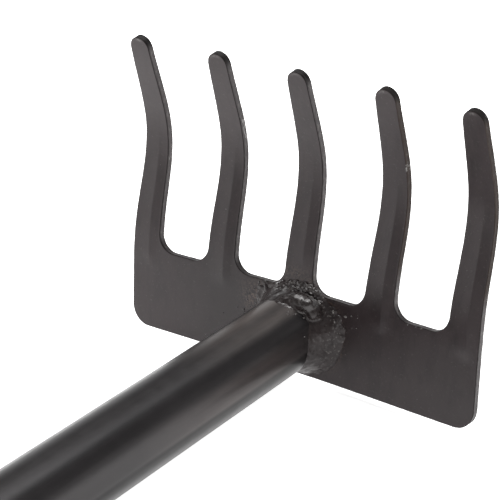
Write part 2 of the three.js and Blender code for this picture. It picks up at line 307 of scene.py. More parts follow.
def tube_material():
    n = Nodes("tube_paint")
    broad = n.noise(30, 3, 0.5)
    fine = n.noise(300, 2, 0.5)
    base = n.mix(n.remap(broad, 0.35, 0.68, 0, 1), (0.0130, 0.0118, 0.0124), (0.0190, 0.0175, 0.0182))
    # painted highlights: lighter bands on the top and right side of the tube near the joint, where it catches the
    # light; faint drawing streaks along the tube
    xyz = n.t.nodes.new("ShaderNodeSeparateXYZ")
    n.link(n.coord, xyz.inputs[0])

    def facing(deg):
        c, k = math.cos(math.radians(deg)), math.sin(math.radians(deg))
        return n.math("ADD", n.math("MULTIPLY", xyz.outputs["X"], c / (TUBE_R * MM)), n.math("MULTIPLY", xyz.outputs["Z"], k / (TUBE_R * MM)))

    streaks = n.noise(520, 2, 0.6, vector=n.scaled(1, 0.03, 1))
    cloud = n.noise(160, 3, 0.6, vector=n.scaled(1, 0.35, 1))
    painted_sheen_breakup = n.math("MULTIPLY", n.remap(streaks, 0.3, 0.7, 0.55, 1.0), n.remap(cloud, 0.3, 0.7, 0.6, 1.0))
    # painted highlight: lighter bands on the top of the tube near the joint, at the angles of the highlight streaks
    top = n.math("MAXIMUM", n.remap(facing(98), 0.93, 1.0, 0, 1), n.remap(facing(66), 0.965, 1.0, 0, 0.8))
    top = n.math("MAXIMUM", top, n.remap(facing(82), 0.84, 0.97, 0, 0.42))
    top = n.math("MULTIPLY", top, n.remap(xyz.outputs["Y"], -0.055, -0.018, 0, 1))
    # painted highlight: a lighter band on the right side of the tube near the joint
    side = n.math("MULTIPLY", n.remap(facing(8), 0.90, 0.98, 0, 1), n.remap(xyz.outputs["Y"], -0.085, -0.050, 0, 1))
    side = n.math("MULTIPLY", side, n.remap(xyz.outputs["Y"], -0.012, -0.028, 0.25, 1))
    base = n.mix(n.math("MULTIPLY", n.math("MULTIPLY", top, painted_sheen_breakup), 0.95), base, (0.132, 0.112, 0.103))
    base = n.mix(n.math("MULTIPLY", n.math("MULTIPLY", side, painted_sheen_breakup), 0.60), base, (0.088, 0.070, 0.065))
    # painted shade: a dark reflection streak along the lower right of the tube
    painted_dark_streak = n.math("MULTIPLY", n.remap(facing(-14), 0.985, 0.998, 0, 1), 0.8)
    base = n.mix(painted_dark_streak, base, (0.004, 0.0035, 0.0035))
    base = n.mix(n.remap(streaks, 0.50, 0.68, 0, 0.16), base, (0.045, 0.041, 0.041))
    n.set("Base Color", base)
    n.set("Roughness", n.remap(fine, 0.3, 0.7, 0.28, 0.33))
    n.set("Specular IOR Level", 0.43)
    # the same dark streak, with its reflection dimmed as well (painted shade)
    painted_dark_streak_spec = n.math("MULTIPLY", n.remap(facing(-14), 0.980, 0.997, 0, 1), n.remap(cloud, 0.3, 0.6, 0.75, 1.0))
    tint = n.mix(painted_dark_streak_spec, (1.0, 0.96, 0.965), (0.20, 0.19, 0.19))
    # painted shade: the reflection is dimmed on a band on the upper right of the tube, away from the joint
    painted_highlight_dimming = n.math("MULTIPLY", n.remap(facing(60), 0.90, 0.985, 0, 0.62), n.remap(xyz.outputs["Y"], -0.080, -0.020, 1, 0))
    n.set("Specular Tint", n.mix(painted_highlight_dimming, tint, (0.34, 0.335, 0.35)))
    along = n.noise(240, 1, 0.5, vector=n.scaled(1, 0.12, 1))
    orange = n.noise(420, 1, 0.5)
    h = n.math("ADD", n.math("MULTIPLY", along, 0.8), n.math("MULTIPLY", orange, 0.4))
    n.set("Normal", n.bump(h, 0.12, 0.0001))
    return n.mat


def weld_material():
    n = Nodes("weld_paint")
    broad = n.noise(120, 3, 0.6)
    fine = n.noise(700, 2, 0.5)
    base = n.mix(n.remap(broad, 0.35, 0.68, 0, 1), (0.0140, 0.0104, 0.0104), (0.0260, 0.0196, 0.0192))
    gloss = n.attribute("gloss")
    # painted highlights: lighter colour on crag flecks, pad specks, spatter and the drop
    base = n.mix(n.attribute("painted_glint"), base, (0.115, 0.106, 0.100))
    n.set("Base Color", base)
    rough = n.remap(fine, 0.3, 0.7, 0.32, 0.48)
    rough = n.math("SUBTRACT", rough, n.math("MULTIPLY", gloss, 0.20))
    n.set("Roughness", rough)
    n.set("Specular IOR Level", 0.34)
    n.set("Coat Weight", gloss)
    n.set("Coat Roughness", 0.16)
    n.set("Specular Tint", (1.0, 0.96, 0.96, 1.0))
    h = n.math("ADD", n.noise(800, 2, 0.5), n.math("MULTIPLY", n.noise(2400, 1, 0.5), 0.25))
    n.set("Normal", n.bump(h, 0.18, 0.00014))
    return n.mat


def grip_material():
    n = Nodes("grip_vinyl")
    broad = n.noise(60, 3, 0.6)
    fine = n.noise(1500, 3, 0.6)
    base = n.mix(n.remap(broad, 0.3, 0.7, 0, 1), (0.0160, 0.0160, 0.0165), (0.0235, 0.0232, 0.0232))
    dust = n.remap(n.noise(700, 4, 0.7), 0.58, 0.80, 0, 0.35)
    base = n.mix(dust, base, (0.055, 0.054, 0.052))
    n.set("Base Color", base)
    n.set("Roughness", n.remap(fine, 0.3, 0.7, 0.55, 0.72))
    n.set("Specular IOR Level", 0.42)
    h = n.math("ADD", n.math("MULTIPLY", n.voronoi(1300), 0.8), n.math("MULTIPLY", n.noise(2600, 2, 0.5), 0.3))
    n.set("Normal", n.bump(h, 0.45, 0.00012))
    return n.mat


MAT_HEAD, MAT_TUBE, MAT_WELD, MAT_GRIP = head_material(), tube_material(), weld_material(), grip_material()

# ------------------------------------------------------------------ head: bent sheet
_step = TINE_L / (len(LEAN) - 1)
_lean = np.radians(LEAN)


def _lean_at(s):
    if s <= -6:
        return 0.0
    if s < 0:
        return _lean[0] * (1 + s / 6) ** 2
    n = len(_lean) - 1
    i = min(int(s // _step), n - 1)
    t = min((s - i * _step) / _step, 1.2)
    p0, p1, p2, p3 = _lean[max(i - 1, 0)], _lean[i], _lean[i + 1], _lean[min(i + 2, n)]
    return 0.5 * (2 * p1 + (p2 - p0) * t + (2 * p0 - 5 * p1 + 4 * p2 - p3) * t * t + (3 * p1 - p0 - 3 * p2 + p3) * t**3)


_S = np.arange(-6, TINE_L + 4, 0.05)
_A = np.array([_lean_at(s) for s in _S])
_Am = np.array([_lean_at(s + 0.025) for s in _S])
_Y = np.concatenate([[0], np.cumsum(np.sin(_Am) * 0.05)[:-1]])
_Z = -6 + np.concatenate([[0], np.cumsum(np.cos(_Am) * 0.05)[:-1]])


def spine(s):
    s = np.asarray(s, float)
    y = np.where(s < -6, 0, np.interp(s, _S, _Y))
    z = np.where(s < -6, s, np.interp(s, _S, _Z))
    a = np.where(s < -6, 0, np.interp(s, _S, _A))
    return y, z, a


def wing(x):
    e = np.maximum(0, np.abs(x - WING_X) - WING_FLAT)
    return -WING_SLOPE * (np.sqrt(e * e + WING_EASE**2) - WING_EASE)


def tine_centre(i, s):
    t = np.maximum(s, 0) / TINE_L
    return BASE_X[i] + (TIP_X[i] - BASE_X[i]) * t - TINE_BOW * np.sin(math.pi * np.minimum(t, 1))


def tine_width(s):
    return np.interp(np.asarray(s, float) / TINE_L, [0, 0.5, 1], TINE_W)


def rib(x, s, back=False):
    """Pressed rib on the handle side of each tine's lower half (a soft groove on the back)."""
    out = np.zeros_like(np.asarray(x, float))
    for i in range(5):
        u = (x - tine_centre(i, s)) / tine_width(s) + 0.5
        foot = smooth(5.5, 11, s) if i == 2 else smooth(-6.5, -1.5, s)
        along = foot * (1 - smooth(24, 40, s))
        left = np.clip(u / RIB_U, 0, 1) ** 1.4
        right = np.clip(1 - (u - RIB_U) / (RIB_END - RIB_U), 0, 1)
        across = np.where(u < RIB_U, left, right)
        if back:
            across = np.exp(-(((u - RIB_U + 0.04) / 0.24) ** 2)) * 0.9
            across = across * smooth(-0.02, 0.1, u) * (1 - smooth(0.9, 1.02, u))
        out = np.maximum(out, np.where((u > -0.05) & (u < 1.05), RIB_H[i] * along * across, 0))
    return out


def bend(x, s, depth, lift=0.0):
    """Flat pattern (x, s) at a depth below the handle-side face -> head frame, mm. lift moves towards the handle."""
    y, z, a = spine(s)
    d = depth / PLATE_T
    r = rib(x, s) * (1 - d) + rib(x, s, True) * d
    n = depth - r - lift
    return np.stack([x, y + n * np.cos(a) - PLATE_T + wing(x), GAP_LINE_Z + z - n * np.sin(a)], -1)


def flat_pattern(b):
    """The outline inset by b, as a grid of quads. Returns points (N, 2), quads."""
    pts, quads = [], []
    U = np.concatenate([np.linspace(0, 0.58, 11), [RIB_U - 0.022, RIB_U, RIB_U + 0.022], np.linspace(0.68, RIB_END, 5), [0.955, 0.98, 1.0]])

    def add(x, s):
        pts.append((x, s))
        return len(pts) - 1

    def row(i, s, half):
        """One row of a tine: core edges inset by b, plus the fillets at the gap corners."""
        c = float(tine_centre(i, s))
        left, right = c - half, c + half
        fl = fr = 0.0
        if s < GAP_R:
            f = GAP_R - math.sqrt(max((GAP_R + b) ** 2 - (GAP_R - s) ** 2, 0)) + b
            fl = f if i > 0 else 0.0
            fr = f if i < 4 else 0.0
        x = left + U * (right - left) - fl * (1 - U) ** 6 + fr * U**6
        return x

    base = []
    for i in range(5):
        L = TINE_L + TINE_DL[i]
        r = float(tine_width(L)) / 2
        rows = []
        for th in np.radians(np.linspace(0, 90, 13)):
            s = GAP_R - (GAP_R + b) * math.cos(th)
            rows.append((s, float(tine_width(s)) / 2 - b))
        sc = L - r
        n = int(round((sc - GAP_R) / 0.6))
        for k in range(1, n + 1):
            s = GAP_R + (sc - GAP_R) * k / n
            rows.append((s, float(tine_width(s)) / 2 - b))
        for th in np.radians([10, 20, 30, 40, 50, 59, 67, 74, 80, 85.5]):
            rows.append((sc + (r - b) * math.sin(th), (r - b) * math.cos(th)))
        previous = None
        for k, (s, half) in enumerate(rows):
            ids = [add(x, s) for x in row(i, s, half)]
            if k == 0:
                base += ids
            if previous:
                for c in range(len(ids) - 1):
                    quads.append((previous[c], previous[c + 1], ids[c + 1], ids[c]))
            previous = ids
        if i < 4:
            a = pts[base[-1]][0]
            z = float(row(i + 1, -b, float(tine_width(0)) / 2 - b)[0])
            for t in np.linspace(0, 1, 12)[1:-1]:
                base.append(add(a + (z - a) * t, -b))
    hl, hr = -pts[base[0]][0], pts[base[-1]][0]
    R = CORNER_R - b
    inner = R + 6

    levels = list(np.linspace(-b, -PLATE_DROP + CORNER_R, 26)[1:])
    levels += [-PLATE_DROP + CORNER_R - R * math.sin(t) for t in np.radians(np.linspace(0, 90, 16))[1:]]
    above = base
    for s in levels:
        up = s - (-PLATE_DROP + CORNER_R)
        cut = R - math.sqrt(max(R * R - min(up, 0) ** 2, 0))
        ids = []
        for bi in base:
            x = pts[bi][0]
            half = hl if x < 0 else hr
            a = abs(x)
            if cut > 0 and a > half - inner:
                x = math.copysign(half - inner + (a - half + inner) * (inner - cut) / inner, x)
            ids.append(add(x, s))
        for c in range(len(ids) - 1):
            quads.append((ids[c], ids[c + 1], above[c + 1], above[c]))
        above = ids
    return np.array(pts), quads


def boundary_loop(quads):
    nxt = {}
    seen = set()
    for q in quads:
        for a, b in zip(q, q[1:] + q[:1]):
            seen.add((a, b))
    for a, b in seen:
        if (b, a) not in seen:
            nxt[a] = b
    start = min(nxt)
    loop = [start]
    while nxt[loop[-1]] != start:
        loop.append(nxt[loop[-1]])
    return np.array(loop)


# worn places: tine, side (+1 right, -1 left), from, to along the tine (mm), strength, least depth below the face
CHIPS = [
    (1, 1, 39.0, 45.0, 0.60, 0.9), (1, 1, 47.0, 49.0, 0.26, 1.0),
    (0, 1, 44.0, 49.0, 0.30, 1.0), (0, 1, 27.0, 33.0, 0.30, 0.6),
    (3, 1, 41.0, 43.2, 0.52, 0.0), (3, 1, 28.0, 33.0, 0.22, 1.0),
    (4, 1, 46.0, 50.0, 0.36, 0.6), (4, 1, 60.0, 63.0, 0.26, 0.6),
    (2, 1, 44.0, 46.0, 0.24, 1.0),
]


def build_head():
    b = 0.26
    pts, quads = flat_pattern(b)
    n = len(pts)
    loop = boundary_loop(quads)
    m = len(loop)
    P = pts[loop]
    ahead, behind = np.roll(P, -1, 0), np.roll(P, 1, 0)
    t = ahead - behind
    t /= np.linalg.norm(t, axis=1)[:, None]
    out = np.stack([t[:, 1], -t[:, 0]], -1)

    # rings from the handle-side face round the edge to the back face: (how far out of the inset, depth)
    rings = []
    for th in np.radians([22.5, 45, 67.5, 90]):
        rings.append((b * math.sin(th), b * (1 - math.cos(th)), 0.35))
    back_b = 0.24
    for k in range(1, 7):
        rings.append((b, b + (PLATE_T - b - back_b) * k / 7, 1.0))
    for th in np.radians([0, 30, 60]):
        rings.append((b - (1 - math.cos(th)) * b, PLATE_T - back_b + back_b * math.sin(th), 0.45))

    face3 = np.stack([pts[:, 0] / 24, pts[:, 1] / 24, np.zeros(n)], -1)
    lift = 0.050 + 0.030 * fbm(face3, 3, 2) + 0.008 * fbm(face3 * 5, 9, 2)
    front = bend(pts[:, 0], pts[:, 1], np.zeros(n), lift)
    back = bend(pts[:, 0], pts[:, 1], np.full(n, PLATE_T), lift)

    verts = [front]
    wall = [np.zeros(n)]
    edge_s = [pts]
    arc = np.concatenate([[0], np.cumsum(np.linalg.norm(ahead - P, axis=1))[:-1]])
    liftL = lift[loop]
    for off, depth, rough in rings:
        # torn, slightly wavy cut face: shallow vertical tear marks plus grit
        q = np.stack([arc / 1.5, np.full(m, depth / 1.1), np.zeros(m)], -1)
        tear = 0.11 * fbm(q, 21, 3) + 0.045 * vnoise(np.stack([arc / 6.0, np.zeros(m), np.zeros(m)], -1), 5)
        tear = np.minimum(tear, 0.06) - 0.07 - 0.04 * rough * (depth / PLATE_T > 0.35)
        pos = P + out * (off + max(rough, 0.9 if off >= b else 0) * tear)[:, None]
        verts.append(bend(pos[:, 0], pos[:, 1], np.full(m, depth), liftL))
        wall.append(np.full(m, 1.0 if rough > 0.9 else 0.35))
        edge_s.append(pos)
    verts.append(back)
    wall.append(np.zeros(n))
    edge_s.append(pts)
    V = np.concatenate(verts)
    flat = np.concatenate(edge_s)
    faces = list(quads)
    first = [loop] + [n + k * m + np.arange(m) for k in range(len(rings))]
    back0 = n + len(rings) * m
    first.append(back0 + loop)
    for A, B in zip(first[:-1], first[1:]):
        A2, B2 = np.roll(A, -1), np.roll(B, -1)
        faces += list(zip(A2, A, B, B2))
    faces += [tuple(back0 + i for i in reversed(q)) for q in quads]

    # where the paint is chipped
    depth_all = np.concatenate([np.zeros(n)] + [np.full(m, d) for _, d, _ in rings] + [np.full(n, PLATE_T)])
    onring = np.concatenate([np.zeros(n)] + [np.ones(m)] * len(rings) + [np.zeros(n)])
    onring[loop] = 1
    onring[back0 + loop] = 1
    chip = np.zeros(len(V))
    for ti, side, s0, s1, k, least in CHIPS:
        c = tine_centre(ti, flat[:, 1])
        near = (np.abs(flat[:, 0] - c) < 7) & ((flat[:, 0] - c) * side > 0)
        w = smooth(s0 - 1.2, s0 + 0.5, flat[:, 1]) * (1 - smooth(s1 - 0.5, s1 + 1.2, flat[:, 1]))
        chip = np.maximum(chip, np.where(near & (depth_all >= least), w * k * onring, 0))
    # a thin worn line along the lip of the right-hand gap
    gap = (flat[:, 0] > 30) & (flat[:, 0] < 50) & (np.abs(flat[:, 1]) < 0.8)
    chip = np.maximum(chip, np.where(gap, 0.30 * onring * (depth_all < 0.6), 0))
    # general light wear on every sharp edge
    chip = np.maximum(chip, onring * 0.06)

    V = V @ HEAD_ROT.T
    ob = make_mesh("rake_head_sheet", V, faces)
    point_attribute(ob, "wall", np.concatenate(wall))
    point_attribute(ob, "chip", chip)
    fx, fz = flat[:, 0], flat[:, 1] + GAP_LINE_Z
    scorch = np.clip(1.25 * np.exp(-(((fx + 15.9) / 4.0) ** 2) - ((fz - 4.8) / 4.4) ** 2), 0, 1)
    scorch = np.maximum(scorch, 0.5 * np.exp(-(((np.hypot(fx, fz) - 15.5) / 2.2) ** 2)) * smooth(-13, -9, fz))
    point_attribute(ob, "scorch", scorch * (depth_all < 1.0))
    # painted shade along the rounded edge between the face and the cut wall, weaker on the right-hand tines
    corner = np.concatenate([np.zeros(n)] + [np.full(m, (1.0, 1.0, 1.0, 0.7, 0.25)[k] if k < 5 else 0.0) for k in range(len(rings))] + [np.zeros(n)])
    right_tine = smooth(20, 22, fx) * smooth(8, 16, flat[:, 1])
    point_attribute(ob, "corner", corner * (1 - 0.8 * right_tine))
    point_attribute(ob, "brown", right_tine * (depth_all > 0.02) * (depth_all < PLATE_T))
    # painted shade on the cut walls round each tine end; the glint is a painted highlight crescent on the face inside
    # each end
    painted_end_shade = np.zeros(len(V))
    glint = np.zeros(len(V))
    for i in range(5):
        c = tine_centre(i, flat[:, 1])
        top = TINE_L + TINE_DL[i]
        r = float(tine_width(top)) / 2
        mine = np.abs(fx - c) < 6
        reach = (2.6, 3.4, 3.0, 2.2, 2.0)[i]
        painted_end_shade = np.maximum(painted_end_shade, np.where(mine & (depth_all > 0.02) & (depth_all < PLATE_T - 0.01), smooth(top - r - reach, top - r + 0.6, flat[:, 1] - 0.35 * (fx - c)), 0))
        ux, us = fx - c, flat[:, 1] - (top - r)
        d = np.hypot(ux, us)
        arc_pos = np.degrees(np.arctan2(ux, us))
        at, spread, k = [(8, 20, 1.0), (-8, 40, 0.45), (-5, 36, 0.42), (-14, 30, 0.75), (-2, 18, 0.85)][i]
        g = np.exp(-(((d - (r - 0.72)) / 0.30) ** 2)) * np.exp(-(((arc_pos - at) / spread) ** 2)) * k
        glint = np.maximum(glint, np.where(mine & (us > 0) & (depth_all < 0.01), g, 0))
    point_attribute(ob, "painted_end_shade", painted_end_shade)
    point_attribute(ob, "glint", glint)
    ob.data.materials.append(MAT_HEAD)
    return settle(ob, "rake_head")


# ------------------------------------------------------------------ tube
def build_tube():
    seg = 144
    th = np.linspace(0, 2 * math.pi, seg, endpoint=False)
    n_back = HEAD_ROT @ np.array([0, 1, 0])
    outer_rows, inner_rows = [], []

    def end_y(x, z, gap):
        # plane parallel to the plate's front face, gap in front of it
        return (-(PLATE_T + gap) - n_back[0] * x - n_back[2] * z) / n_back[1]

    verts, faces = [], []

    def ring(r, y_of, wob):
        x, z = np.cos(th), np.sin(th)
        y = y_of(r * x, r * z)
        q = np.stack([x * 1.3, y / 28.0, z * 1.3], -1)
        rr = r + wob * (0.035 * fbm(q, 41, 2))
        verts.append(np.stack([rr * x, y, rr * z], -1))
        return len(verts) - 1

    order = []
    lead = 0.35
    # outer wall from the grip end to the plate, rounded at both rims
    bev = 0.35
    for a in np.radians([0, 45, 90]):
        order.append(ring(TUBE_R - bev * (1 - math.sin(a)), lambda x, z, a=a: np.full_like(x, TUBE_END + bev * (1 - math.cos(a))), 0))
    y0 = TUBE_END + bev
    for t in np.linspace(0, 1, 120)[1:]:
        order.append(ring(TUBE_R, lambda x, z, t=t: y0 + (end_y(x, z, lead + bev) - y0) * t, 1))
    for a in np.radians([45, 90]):
        order.append(ring(TUBE_R - bev * (1 - math.cos(a)), lambda x, z, a=a: end_y(x, z, lead + bev * (1 - math.sin(a))), 0))
    ri = TUBE_R - TUBE_WALL
    order.append(ring(ri + 0.1, lambda x, z: end_y(x, z, lead), 0))
    for t in np.linspace(0, 1, 24):
        order.append(ring(ri, lambda x, z, t=t: end_y(x, z, lead + 0.1) + (TUBE_END + 0.1 - end_y(x, z, lead + 0.1)) * t, 0))
    order.append(ring(ri + 0.1, lambda x, z: np.full_like(x, TUBE_END), 0))
    V = np.concatenate(verts)
    k = len(order)
    for j in range(k):
        A = j * seg + np.arange(seg)
        B = ((j + 1) % k) * seg + np.arange(seg)
        A2, B2 = np.roll(A, -1), np.roll(B, -1)
        faces += list(zip(A, A2, B2, B))
    ob = make_mesh("handle_tube_steel", V, faces)
    fix_normals(ob)
    ob.data.materials.append(MAT_TUBE)
    return settle(ob, "handle_tube")


def fix_normals(ob):
    """Turns the faces outwards if the closed mesh has a negative volume."""
    me = ob.data
    me.calc_loop_triangles()
    co = np.zeros(len(me.vertices) * 3)
    me.vertices.foreach_get("co", co)
    co = co.reshape(-1, 3)
    tri = np.zeros(len(me.loop_triangles) * 3, np.int64)
    me.loop_triangles.foreach_get("vertices", tri)
    tri = tri.reshape(-1, 3)
    vol = np.einsum("ij,ij->i", co[tri[:, 0]], np.cross(co[tri[:, 1]], co[tri[:, 2]])).sum()
    if vol < 0:
        me.flip_normals()
    me.update()


# ------------------------------------------------------------------ weld: a distance field, then surface nets
def surface_nets(F, origin, h):
    inside = F < 0
    c = np.zeros(tuple(s - 1 for s in F.shape), np.int8)
    for dx in (0, 1):
        for dy in (0, 1):
            for dz in (0, 1):
                c += inside[dx : F.shape[0] - 1 + dx, dy : F.shape[1] - 1 + dy, dz : F.shape[2] - 1 + dz]
    mixed = (c > 0) & (c < 8)
    cells = np.argwhere(mixed)
    index = -np.ones(mixed.shape, np.int64)
    index[mixed] = np.arange(len(cells))
    total, count = np.zeros((len(cells), 3)), np.zeros(len(cells))
    corners = [(x, y, z) for x in (0, 1) for y in (0, 1) for z in (0, 1)]
    for a in corners:
        for b in corners:
            if sum(b) - sum(a) != 1 or sum(abs(p - q) for p, q in zip(a, b)) != 1:
                continue
            fa = F[cells[:, 0] + a[0], cells[:, 1] + a[1], cells[:, 2] + a[2]]
            fb = F[cells[:, 0] + b[0], cells[:, 1] + b[1], cells[:, 2] + b[2]]
            hit = (fa < 0) != (fb < 0)
            t = np.where(hit, fa / np.where(hit, fa - fb, 1), 0)
            for k in range(3):
                total[:, k] += np.where(hit, a[k] + (b[k] - a[k]) * t, 0)
            count += hit
    V = (cells + total / count[:, None]) * h + origin
    faces = []
    for axis in range(3):
        sl0, sl1 = [slice(None)] * 3, [slice(None)] * 3
        sl0[axis], sl1[axis] = slice(0, -1), slice(1, None)
        a, b = inside[tuple(sl0)], inside[tuple(sl1)]
        edges = np.argwhere(a != b)
        p, q = [(1, 2), (2, 0), (0, 1)][axis]
        ok = (edges[:, p] > 0) & (edges[:, q] > 0) & (edges[:, p] < F.shape[p] - 1) & (edges[:, q] < F.shape[q] - 1)
        edges = edges[ok]
        quad = []
        for dp, dq in ((-1, -1), (0, -1), (0, 0), (-1, 0)):
            e = edges.copy()
            e[:, p] += dp
            e[:, q] += dq
            quad.append(index[e[:, 0], e[:, 1], e[:, 2]])
        quad = np.stack(quad, -1)
        out = a[tuple(edges.T)]
        quad[~out] = quad[~out][:, ::-1]
        faces.append(quad)
    return V, np.concatenate(faces)


def relax(V, faces, rounds, k=0.5):
    n = len(V)
    e = np.concatenate([faces[:, [0, 1]], faces[:, [1, 2]], faces[:, [2, 3]], faces[:, [3, 0]]])
    for _ in range(rounds):
        acc = np.zeros_like(V)
        cnt = np.zeros(n)
        for a, b in ((0, 1), (1, 0)):
            np.add.at(acc, e[:, a], V[e[:, b]])
            np.add.at(cnt, e[:, a], 1)
        V = V + (acc / cnt[:, None] - V) * k
    return V


def smin(a, b, k):
    h = np.clip(0.5 + 0.5 * (b - a) / k, 0, 1)
    return b + (a - b) * h - k * h * (1 - h)


class Field:
    """A distance field on a grid, changed only near each added or carved shape."""

    def __init__(self, lo, hi, step):
        self.lo, self.h = np.array(lo, float), step
        self.n = np.ceil((np.array(hi) - self.lo) / step).astype(int) + 1
        self.ax = [self.lo[i] + np.arange(self.n[i]) * step for i in range(3)]

    def grid(self):
        return np.meshgrid(*self.ax, indexing="ij", sparse=True)

    def window(self, low, high):
        sl = []
        for i in range(3):
            a = int(np.clip((low[i] - self.lo[i]) / self.h, 0, self.n[i] - 1))
            b = int(np.clip((high[i] - self.lo[i]) / self.h + 2, a + 1, self.n[i]))
            sl.append(slice(a, b))
        return tuple(sl), np.meshgrid(*[self.ax[i][sl[i]] for i in range(3)], indexing="ij", sparse=True)

    def put(self, sl, d, k, carve):
        F = self.F[sl]
        self.F[sl] = -smin(-F, d, k) if carve else smin(F, d, k)

    def ball(self, c, r, k=0.5, carve=False):
        c, r = np.array(c, float), np.array(r, float)
        reach = r + 3 * k + 0.6
        sl, X = self.window(c - reach, c + reach)
        q = np.sqrt(sum(((X[i] - c[i]) / r[i]) ** 2 for i in range(3)))
        self.put(sl, (q - 1) * r.min(), k, carve)

    def rod(self, a, b, r0, r1, k=0.5, carve=False):
        a, b = np.array(a, float), np.array(b, float)
        reach = max(r0, r1) + 3 * k + 0.6
        sl, X = self.window(np.minimum(a, b) - reach, np.maximum(a, b) + reach)
        ab = b - a
        t = np.clip(sum((X[i] - a[i]) * ab[i] for i in range(3)) / (ab @ ab), 0, 1)
        d = np.sqrt(sum((X[i] - a[i] - ab[i] * t) ** 2 for i in range(3)))
        self.put(sl, d - (r0 + (r1 - r0) * t), k, carve)


# legs of the fillet round the tube, by angle from +X towards +Z: on the plate, along the tube
WELD_LEGS = np.array([
    [-180, 2.4, 4.0], [-125, 2.2, 4.0], [-90, 2.4, 4.6], [-66, 2.8, 6.5], [-40, 4.2, 8.0], [-21, 4.9, 8.4], [-6, 5.0, 8.6],
    [8, 5.9, 8.4], [20, 5.2, 7.4], [31, 4.2, 6.2], [45, 3.4, 6.0], [60, 2.5, 7.8], [80, 1.8, 9.6], [105, 1.7, 8.6],
    [135, 2.6, 6.6], [160, 2.6, 4.6], [180, 2.4, 4.0],
])


def front_point(x, z, h):
    """Head-plate coordinates (x, z in the head frame, height h above the front face) -> row frame."""
    return HEAD_ROT @ np.array([x, -PLATE_T - h, z])


